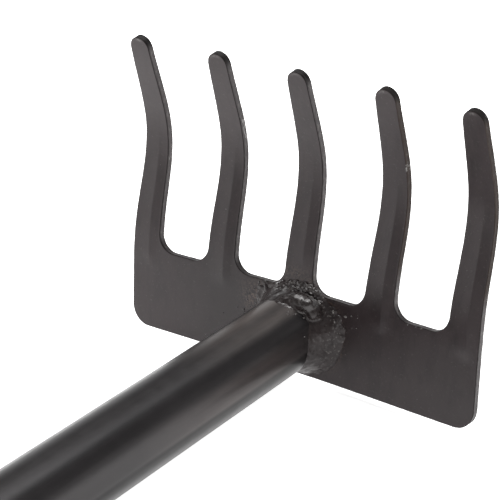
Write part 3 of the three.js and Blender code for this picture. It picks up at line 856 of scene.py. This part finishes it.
def build_weld():
    G = Field((-22.0, -13.0, -16.5), (19.5, 1.6, 17.2), 0.19)
    X = G.grid()
    nb = HEAD_ROT @ np.array([0, 1, 0])
    height = -(nb[0] * X[0] + nb[1] * X[1] + nb[2] * X[2]) - PLATE_T
    rho = np.sqrt(X[0] ** 2 + X[2] ** 2)
    ang = np.degrees(np.arctan2(X[2], X[0]))
    a = rho - TUBE_R
    flat = np.stack([np.cos(np.radians(ang)).ravel() * 3.1, np.sin(np.radians(ang)).ravel() * 3.1, np.zeros(ang.size)], -1)
    wob = fbm(flat, 61, 2).reshape(ang.shape)
    leg_at = lambda col: sum(w * np.interp((ang + d + 180) % 360 - 180, WELD_LEGS[:, 0], WELD_LEGS[:, col]) for d, w in ((-10, 0.2), (-5, 0.2), (0, 0.2), (5, 0.2), (10, 0.2)))
    Lp = leg_at(1) * (1.12 + 0.09 * wob)
    Lt = leg_at(2) * (1.06 + 0.05 * wob)
    power = 0.86 + 0.14 * smooth(35, 60, ang) * (1 - smooth(120, 150, ang))
    f = np.maximum(a, 0) ** power / Lp**power + np.maximum(height, 0) ** power / Lt**power - 1
    G.F = f * Lp * Lt / np.sqrt(Lp**2 + Lt**2)
    # the collar only wraps the joint: it stops inside the tube wall and inside the plate
    keep = np.maximum(-(a + 0.9), -(height + 0.5))

    P = front_point
    # big glossy drop on the tube's upper right shoulder
    for c, r in [
        (P(6.6, 9.6, 4.9), (3.3, 3.0, 2.3)),
        (P(4.2, 10.4, 5.0), (2.7, 2.8, 1.9)),
        (P(9.2, 7.3, 3.6), (2.2, 2.8, 2.3)),
        (P(1.2, 10.6, 5.6), (2.6, 2.8, 0.9)),
    ]:
        G.ball(c, r, 0.8)
    # craggy bead across the root of the middle tine
    crag = [(-9.8, 9.8, 0.1, 0.65), (-7.4, 10.4, 0.1, 0.85), (-4.2, 11.4, 0.15, 0.95), (-1.2, 12.0, 0.1, 1.0), (1.8, 12.35, 0.15, 1.05), (4.8, 12.3, 0.1, 0.95), (7.0, 11.7, 0.1, 0.85), (8.9, 10.5, 0.1, 0.7)]
    for p, q in zip(crag[:-1], crag[1:]):
        G.rod(P(*p[:3]), P(*q[:3]), p[3], q[3], 0.6)
    for x, z, h, r in [(-2.6, 12.7, 0.1, 0.6), (-0.2, 13.1, 0.1, 0.6), (2.6, 13.3, 0.05, 0.6), (4.9, 12.9, 0.0, 0.55), (-5.2, 12.1, 0.05, 0.5)]:
        G.ball(P(x, z, h), (r * 1.3, r * 0.9, r), 0.5)
    # standing ridge to the left of it
    G.rod(P(-11.3, 10.4, 0.2), P(-9.2, 7.6, 0.8), 0.6, 0.85, 0.5)
    # scalloped right-hand border of the pad
    for x, z, r in [(13.3, 8.1, 1.1), (15.2, 6.0, 1.1), (16.5, 3.2, 1.1), (16.5, 0.6, 1.0), (15.3, -1.8, 1.1), (14.8, -4.6, 1.1), (13.6, -7.2, 1.1), (11.5, -9.7, 1.1), (8.6, -11.6, 1.1), (5.2, -12.8, 1.0)]:
        G.ball(P(x, z, 0.0), (r, 0.6, r), 0.9)
    # low apron to the left of the joint
    for x, z, r, t in [(-12.4, 6.6, 1.8, 0.28), (-12.6, 4.2, 1.8, 0.26)]:
        G.ball(P(x, z, 0.0), (r, t, r), 0.5)
    # dark undercut groove between the crags and the drop
    groove = [(-8.2, 8.3, 1.2, 0.45), (-5.4, 9.2, 1.4, 0.6), (-2.4, 9.9, 1.6, 0.7), (1.9, 10.7, 1.8, 0.75), (5.7, 11.1, 1.8, 0.65), (8.2, 10.2, 1.7, 0.4)]
    for p, q in zip(groove[:-1], groove[1:]):
        G.rod(P(*p[:3]), P(*q[:3]), p[3], q[3], 0.35, carve=True)
    # pits
    for x, z, h, r in [(13.5, -4.3, 1.0, 0.75), (12.2, 2.0, 3.4, 0.4), (10.6, -6.0, 3.9, 0.5)]:
        G.ball(P(x, z, h), (r, r, r), 0.25, carve=True)
    F = np.maximum(G.F, keep)

    # surface: coarse and layered on the crags, gentle on the pad, smooth on the drop
    near = np.abs(F) < 0.9
    full = [np.broadcast_to(v, F.shape)[near] for v in X]
    Q = np.stack(full, -1)
    craggy = smooth(9.8, 11.2, Q[:, 2] + 0.12 * Q[:, 0]) * smooth(-12.5, -10, Q[:, 0]) * (1 - smooth(9, 11.5, Q[:, 0])) * smooth(-5.2, -3.8, Q[:, 1])
    left = smooth(10.5, 12.5, -Q[:, 0])
    drop = np.exp(-((Q[:, 0] - 5.5) / 4.5) ** 2 - ((Q[:, 2] - 10) / 3.0) ** 2 - ((Q[:, 1] + 6.7) / 2.1) ** 2)
    amp = (0.17 + 0.03 * left) * (1 - 0.75 * drop)
    F[near] = (
        F[near]
        + amp * fbm(Q / 1.5, 71, 3, 0.55)
        + 0.36 * craggy * fbm(Q / np.array([1.5, 0.8, 0.6]), 75, 3, 0.6)
        + 0.12 * fbm(Q / 4.0, 88, 2)
    )
    F = np.maximum(F, keep)
    V, faces = surface_nets(F, G.lo, G.h)
    V = relax(V, faces, 1, 0.4)
    V, faces = biggest_part(V, faces)
    drop = np.exp(-((V[:, 0] - 5.5) / 4.5) ** 2 - ((V[:, 2] - 10) / 3.0) ** 2 - ((V[:, 1] + 6.7) / 2.1) ** 2)
    ob = make_mesh("weld_bead", V, faces)
    fix_normals(ob)
    band = smooth(9.8, 11.0, V[:, 2] + 0.12 * V[:, 0]) * smooth(-12, -10, V[:, 0]) * (1 - smooth(9, 11, V[:, 0])) * smooth(-5.4, -4.0, V[:, 1])
    fleck = smooth(0.05, 0.3, fbm(V / 0.8, 131, 2))
    crest = band * smooth(0.10, 0.34, fbm(V / np.array([1.1, 0.6, 0.5]), 141, 2))
    specks = smooth(0.38, 0.47, fbm(V / 0.5, 149, 2)) * smooth(12.0, 14.0, np.hypot(V[:, 0], V[:, 2])) * smooth(-14, -8, V[:, 2])
    # painted highlights on bright flecks of the crags, specks on the pad and the drop
    point_attribute(ob, "painted_glint", np.clip(0.42 * crest + 0.6 * specks + 0.22 * drop, 0, 1))
    point_attribute(ob, "gloss", np.clip(drop * 1.3 + band * (0.25 + 0.6 * fleck) + (0.35 + 0.3 * smooth(0, 5, V[:, 2])) * smooth(0.34, 0.46, fbm(V / 0.55, 137, 2)), 0, 1))
    ob.data.materials.append(MAT_WELD)
    return settle(ob, ["weld_bead_upper", "weld_bead_lower"])


def biggest_part(V, faces):
    """Keeps the largest connected part."""
    parent = np.arange(len(V))
    e = np.concatenate([faces[:, [0, 1]], faces[:, [1, 2]], faces[:, [2, 3]]])
    while True:
        m = np.minimum(parent[e[:, 0]], parent[e[:, 1]])
        new = parent.copy()
        np.minimum.at(new, e[:, 0], m)
        np.minimum.at(new, e[:, 1], m)
        new = new[new]
        if (new == parent).all():
            break
        parent = new
    ids, counts = np.unique(parent, return_counts=True)
    keep = parent == ids[counts.argmax()]
    remap = -np.ones(len(V), np.int64)
    remap[keep] = np.arange(keep.sum())
    return V[keep], remap[faces[keep[faces[:, 0]]]]


def build_spatter():
    """Small paint-covered droplets of spatter, half sunk in what they landed on."""
    rng = np.random.default_rng(12)
    spots = []
    # x, z on the plate (head frame), height of the centre, radius
    for x, z, h, r in [(17.4, 7.2, 0.1, 0.5), (13.7, 7.9, 1.0, 0.45), (11.5, -1.4, 3.2, 0.45), (10.3, 3.2, 4.3, 0.40), (14.6, 5.2, 1.4, 0.40), (15.9, -0.6, 0.7, 0.42), (13.1, -2.0, 2.0, 0.35), (8.6, 5.1, 5.2, 0.5), (-20.0, 2.8, 0.1, 0.35), (-13.4, 9.8, 0.1, 0.45), (19.8, 4.4, 0.05, 0.28), (21.5, 8.6, 0.05, 0.3)]:
        spots.append((front_point(x, z, h), r))
    for _ in range(18):
        t = rng.uniform(-40, 200)
        d = 11 + 4.5 + rng.gamma(1.6, 2.6)
        x, z = d * math.cos(math.radians(t)), d * math.sin(math.radians(t))
        if abs(x) > 40 or z < -13 or z > 10.3 and abs(x) > 4 or z > 20:
            continue
        spots.append((front_point(x, z, 0.02 - float(wing(np.array(x)))), rng.uniform(0.12, 0.24)))
    for x, z, r in [(-18.6, 0.2, 0.45), (-16.9, 5.6, 0.26), (-15.0, 7.4, 0.3), (-17.6, 3.4, 0.24), (-14.4, 3.2, 0.28), (-13.6, 8.6, 0.32), (-16.2, 1.6, 0.22)]:
        spots.append((front_point(x, z, -0.06 - float(wing(np.array(x)))), r))
    # a few along the tube near the joint
    for deg, y, r in [(64, -11.6, 0.34), (55, -10.2, 0.4), (61, -12.6, 0.26), (44, -8.6, 0.34), (20, -12.0, 0.22)]:
        c = np.array([TUBE_R * math.cos(math.radians(deg)), y, TUBE_R * math.sin(math.radians(deg))])
        spots.append((c, r))
    verts, faces = [], []
    nu, nv = 10, 6
    for c, r in spots:
        base = len(verts)
        sq = rng.uniform(0.75, 1.25, 3)
        verts.append(c + np.array([0, 0, r * sq[2]]))
        for j in range(1, nv):
            ph = math.pi * j / nv
            for i in range(nu):
                th = 2 * math.pi * i / nu
                verts.append(c + r * sq * np.array([math.sin(ph) * math.cos(th), math.sin(ph) * math.sin(th), math.cos(ph)]))
        verts.append(c - np.array([0, 0, r * sq[2]]))
        last = base + 1 + (nv - 1) * nu
        for i in range(nu):
            i2 = (i + 1) % nu
            faces.append((base, base + 1 + i, base + 1 + i2))
            for j in range(nv - 2):
                p, q = base + 1 + j * nu, base + 1 + (j + 1) * nu
                faces.append((p + i, q + i, q + i2, p + i2))
            p = base + 1 + (nv - 2) * nu
            faces.append((p + i, last, p + i2))
    ob = make_mesh("weld_spatter", np.array(verts), faces)
    point_attribute(ob, "gloss", np.full(len(verts), 0.8))
    # painted highlights on the droplets right of the joint, none on the left ones
    painted_glint_tone = np.repeat([0.0 if c[0] < -13 else 0.75 for c, _ in spots], 2 + (nv - 1) * nu)
    point_attribute(ob, "painted_glint", painted_glint_tone)
    ob.data.materials.append(MAT_WELD)
    return settle(ob)


# ------------------------------------------------------------------ grip
def spline(points, n):
    """Points along a Catmull-Rom curve through the given 2-D points."""
    P = np.array(points, float)
    out = []
    for i in range(len(P) - 1):
        p0, p1, p2, p3 = P[max(i - 1, 0)], P[i], P[i + 1], P[min(i + 2, len(P) - 1)]
        for t in np.linspace(0, 1, n, endpoint=False):
            out.append(0.5 * (2 * p1 + (p2 - p0) * t + (2 * p0 - 5 * p1 + 4 * p2 - p3) * t * t + (3 * p1 - p0 - 3 * p2 + p3) * t**3))
    out.append(P[-1])
    return np.array(out)


def build_grip():
    seg = 120
    bore = TUBE_R + 0.05
    F = GRIP_FRONT
    outer = [
        (GRIP_R + 0.9, F - 0.25), (GRIP_R + 1.55, F - 1.2), (GRIP_R + 1.8, F - 3.6), (GRIP_R + 1.5, F - 5.8), (GRIP_R + 0.5, F - 8.6),
        (GRIP_R + 0.1, F - 12), (GRIP_R - 0.5, F - 30), (GRIP_R + 0.25, F - 55), (GRIP_R + 0.35, F - 75), (GRIP_R - 0.2, F - 95),
        (GRIP_R - 0.9, HANDLE_END + 9), (GRIP_R - 1.5, HANDLE_END + 6.0), (GRIP_R - 3.0, HANDLE_END + 2.6), (GRIP_R - 5.6, HANDLE_END + 0.6),
        (GRIP_R - 8.0, HANDLE_END + 0.02),
    ]
    curve = spline(outer, 12)
    # resample evenly and press shallow rings into the middle of the grip
    seglen = np.concatenate([[0], np.cumsum(np.linalg.norm(np.diff(curve, axis=0), axis=1))])
    L = seglen[-1]
    t = np.linspace(0, L, int(L / 0.55))
    r = np.interp(t, seglen, curve[:, 0])
    y = np.interp(t, seglen, curve[:, 1])
    zone = smooth(16, 20, F - y) * (1 - smooth(88, 92, F - y))
    phase = (F - y - 18) / 6.0
    groove = np.exp(-(((phase - np.round(phase)) * 6.0 / 0.85) ** 2))
    r = r - 0.55 * groove * zone
    pts = list(zip(r, y))
    # front lip, down into the bore, bore, bore floor
    lip = [(GRIP_R + 0.2, F), (bore + 0.9, F), (bore + 0.25, F - 0.3), (bore, F - 0.9)]
    inside = [(bore, yy) for yy in np.linspace(F - 3, TUBE_END - 0.1, 30)]
    floor = [(bore * 0.66, TUBE_END - 0.1), (bore * 0.33, TUBE_END - 0.1)]
    ring_pts = pts[::-1] + lip + inside + floor
    th = np.linspace(0, 2 * math.pi, seg, endpoint=False)
    verts = [np.array([[0, HANDLE_END, 0]])]
    for rr, yy in ring_pts:
        verts.append(np.stack([rr * np.cos(th), np.full(seg, yy), rr * np.sin(th)], -1))
    verts.append(np.array([[0, TUBE_END - 0.1, 0]]))
    V = np.concatenate(verts)
    k = len(ring_pts)
    faces = []
    first = 1
    for i in range(seg):
        faces.append((0, first + i, first + (i + 1) % seg))
    for j in range(k - 1):
        a, b = 1 + j * seg, 1 + (j + 1) * seg
        for i in range(seg):
            i2 = (i + 1) % seg
            faces.append((a + i, b + i, b + i2, a + i2))
    last = 1 + (k - 1) * seg
    end = len(V) - 1
    for i in range(seg):
        faces.append((end, last + (i + 1) % seg, last + i))
    ob = make_mesh("handle_grip_sleeve", V, faces)
    fix_normals(ob)

    # hanging hole with a rounded mouth at both sides
    half = []
    for z in np.linspace(0, 9.5, 6):
        half.append((HANG_R, z))
    for a in np.radians(np.linspace(0, 80, 9)[1:]):
        half.append((HANG_R + 2.2 * (1 - math.cos(a)), 9.5 + 3.6 * math.sin(a)))
    half.append((half[-1][0] + 1.5, 16.0))
    full = [(r_, -z_) for r_, z_ in half[::-1]] + half[1:]
    cs = 64
    ph = np.linspace(0, 2 * math.pi, cs, endpoint=False)
    cv = [np.array([[0, HANG_Y, -16.0]])]
    for r_, z_ in full:
        cv.append(np.stack([r_ * np.cos(ph), HANG_Y + r_ * np.sin(ph), np.full(cs, z_)], -1))
    cv.append(np.array([[0, HANG_Y, 16.0]]))
    CV = np.concatenate(cv)
    cf = []
    for i in range(cs):
        cf.append((0, 1 + (i + 1) % cs, 1 + i))
    for j in range(len(full) - 1):
        a, b = 1 + j * cs, 1 + (j + 1) * cs
        for i in range(cs):
            i2 = (i + 1) % cs
            cf.append((a + i, a + i2, b + i2, b + i))
    la = 1 + (len(full) - 1) * cs
    for i in range(cs):
        cf.append((len(CV) - 1, la + i, la + (i + 1) % cs))
    cutter = make_mesh("cutter_tmp", CV, cf)
    fix_normals(cutter)
    mod = ob.modifiers.new("hole", "BOOLEAN")
    mod.operation = "DIFFERENCE"
    mod.solver = "EXACT"
    mod.object = cutter
    dg = bpy.context.evaluated_depsgraph_get()
    me = bpy.data.meshes.new_from_object(ob.evaluated_get(dg))
    ob.modifiers.clear()
    old = ob.data
    ob.data = me
    bpy.data.meshes.remove(old)
    me.name = "handle_grip_sleeve"
    me.polygons.foreach_set("use_smooth", [True] * len(me.polygons))
    bpy.data.objects.remove(cutter)
    ob.data.materials.clear()
    ob.data.materials.append(MAT_GRIP)
    return settle(ob, "handle_grip")


build_head()
build_tube()
build_weld()
build_spatter()
build_grip()

# ------------------------------------------------------------------ floor, light, camera
lo_all, hi_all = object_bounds()
FLOOR_Z = min(CAD_LO.z, lo_all.z) - 0.0002


def build_floor():
    me = bpy.data.meshes.new("floor")
    s = 6.0
    me.from_pydata([(-s, -s, FLOOR_Z), (s, -s, FLOOR_Z), (s, s, FLOOR_Z), (-s, s, FLOOR_Z)], [], [(0, 1, 2, 3)])
    ob = bpy.data.objects.new("floor", me)
    bpy.context.scene.collection.objects.link(ob)
    m = bpy.data.materials.new("floor_white")
    m.use_nodes = True
    b = m.node_tree.nodes["Principled BSDF"]
    b.inputs["Base Color"].default_value = (0.85, 0.85, 0.85, 1)
    b.inputs["Roughness"].default_value = 0.9
    b.inputs["Specular IOR Level"].default_value = 0.1
    b.inputs["Emission Color"].default_value = (1, 1, 1, 1)
    t = m.node_tree
    c = t.nodes.new("ShaderNodeTexCoord")
    sx = t.nodes.new("ShaderNodeSeparateXYZ")
    r = t.nodes.new("ShaderNodeMapRange")
    ramp = t.nodes.new("ShaderNodeFloatCurve")
    t.links.new(c.outputs["Object"], sx.inputs[0])
    t.links.new(sx.outputs["X"], r.inputs["Value"])
    for key, v in (("From Min", -0.2), ("From Max", 0.2), ("To Min", 0.0), ("To Max", 1.0)):
        r.inputs[key].default_value = v
    curve = ramp.mapping.curves[0]
    # the floor glows, with emission varying across it (strongest on the left, rising towards the head) to shape the
    # reflections on the paint
    pts = [(-0.2, 0.80), (-0.10, 0.75), (-0.055, 0.67), (-0.01, 0.50), (0.010, 0.49), (0.023, 0.44), (0.045, 0.56), (0.08, 0.64), (0.2, 0.64)]
    while len(curve.points) < len(pts):
        curve.points.new(0.5, 0.5)
    for q, (x, y) in zip(curve.points, pts):
        q.location = ((x + 0.2) / 0.4, y)
    ramp.mapping.update()
    t.links.new(r.outputs["Result"], ramp.inputs["Value"])
    k = t.nodes.new("ShaderNodeMath")
    k.operation = "MULTIPLY"
    t.links.new(ramp.outputs["Value"], k.inputs[0])
    near = t.nodes.new("ShaderNodeMapRange")
    near.interpolation_type = "SMOOTHSTEP"
    t.links.new(sx.outputs["Y"], near.inputs["Value"])
    for key, v in (("From Min", -0.09), ("From Max", -0.035), ("To Min", 1.32), ("To Max", 1.72)):
        near.inputs[key].default_value = v
    t.links.new(near.outputs["Result"], k.inputs[1])

    def ramp_of(socket, a, b_, lo, hi):
        q = t.nodes.new("ShaderNodeMapRange")
        q.interpolation_type = "SMOOTHSTEP"
        t.links.new(socket, q.inputs["Value"])
        for key, v in (("From Min", a), ("From Max", b_), ("To Min", lo), ("To Max", hi)):
            q.inputs[key].default_value = v
        return q.outputs["Result"]

    def times(u, v):
        q = t.nodes.new("ShaderNodeMath")
        q.operation = "MULTIPLY"
        t.links.new(u, q.inputs[0])
        t.links.new(v, q.inputs[1])
        return q.outputs[0]

    # a glowing strip under the tube lifts the tube's cast shadow off the floor
    shadow_lift_glow = times(times(ramp_of(sx.outputs["X"], -0.014, -0.002, 0, 1), ramp_of(sx.outputs["X"], 0.007, 0.019, 1, 0)), ramp_of(sx.outputs["Y"], -0.040, -0.075, 0.06, 0.20))
    total = t.nodes.new("ShaderNodeMath")
    total.operation = "ADD"
    t.links.new(k.outputs[0], total.inputs[0])
    t.links.new(shadow_lift_glow, total.inputs[1])
    t.links.new(total.outputs[0], b.inputs["Emission Strength"])
    ob.data.materials.append(m)


build_floor()


def area(name, location, target, size, power, color=(1, 1, 1)):
    d = bpy.data.lights.new(name, "AREA")
    d.shape = "RECTANGLE"
    d.size, d.size_y = size
    d.energy = power
    d.color = color
    ob = bpy.data.objects.new(name, d)
    ob.location = location
    ob.rotation_mode = "QUATERNION"
    ob.rotation_quaternion = (Vector(target) - Vector(location)).to_track_quat("-Z", "Y")
    ob.visible_camera = False
    bpy.context.scene.collection.objects.link(ob)
    return ob


area("softbox_left", (-1.25, -0.75, 0.55), (0, 0, 0.02), (0.9, 0.8), 4)
area("softbox_top", (-0.30, 0.64, 2.9), (0, -0.05, 0), (2.6, 2.0), 88)
area("softbox_right", (1.3, 0.45, 0.12), (0, -0.02, 0.0), (0.9, 0.3), 1.5)

world = bpy.data.worlds.new("studio")
world.use_nodes = True
bpy.context.scene.world = world
wt = world.node_tree
bg = wt.nodes["Background"]
tc = wt.nodes.new("ShaderNodeTexCoord")
sep = wt.nodes.new("ShaderNodeSeparateXYZ")
wt.links.new(tc.outputs["Generated"], sep.inputs[0])
mr = wt.nodes.new("ShaderNodeMapRange")
mr.interpolation_type = "SMOOTHSTEP"
mr.inputs["From Min"].default_value = math.sin(math.radians(10))
mr.inputs["From Max"].default_value = math.sin(math.radians(28))
mr.inputs["To Min"].default_value = 1.0
mr.inputs["To Max"].default_value = 0.15
wt.links.new(sep.outputs["Z"], mr.inputs["Value"])
wt.links.new(mr.outputs["Result"], bg.inputs["Strength"])
bg.inputs["Color"].default_value = (1, 1, 1, 1)

cam_data = bpy.data.cameras.new("camera")
cam = bpy.data.objects.new("camera", cam_data)
bpy.context.scene.collection.objects.link(cam)
cam_data.sensor_width = 36.0
cam_data.lens = 119.726
cam_data.clip_start, cam_data.clip_end = 0.01, 50
right = Vector((0.79376659, 0.60608161, -0.0509871))
up = Vector((-0.21702928, 0.36055045, 0.90713927))
fwd = Vector((-0.56818385, 0.70899115, -0.41773036))
rot = Matrix((right, up, -fwd)).transposed()
cam.matrix_world = Matrix.Translation(Vector((0.25558670, -0.33992956, 0.21941238))) @ rot.to_4x4()
bpy.context.scene.camera = cam

vs = bpy.context.scene.view_settings
vs.view_transform = "Standard"
vs.look = "None"
vs.exposure = 0.0
vs.gamma = 1.0
